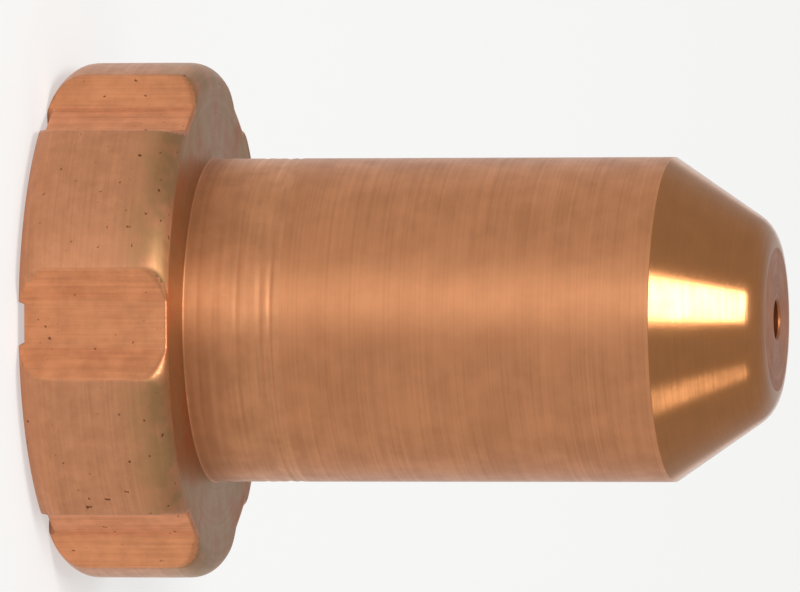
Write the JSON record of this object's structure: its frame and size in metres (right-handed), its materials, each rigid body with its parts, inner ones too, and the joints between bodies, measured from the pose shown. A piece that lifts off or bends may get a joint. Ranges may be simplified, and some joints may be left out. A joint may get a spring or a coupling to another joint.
{
  "type": "plasma torch nozzle",
  "caption": "Round copper nozzle for a plasma cutting torch, with a slotted castellated flange, a turned cylindrical body, a conical nose and a small central orifice.",
  "frame": {"origin": "centre of the flat seat face at the back of the flange", "axes": "+Z along the nozzle's axis from the seat face to the orifice, -Y out through the middle of one milled slot"},
  "size_m": [0.016, 0.0156, 0.0223],
  "materials": {
    "copper": "bare copper, fine turned body, milled slots and a polished nose cone"
  },
  "bodies": {
    "root": {"nozzle": "copper"}
  },
  "joints": []
}
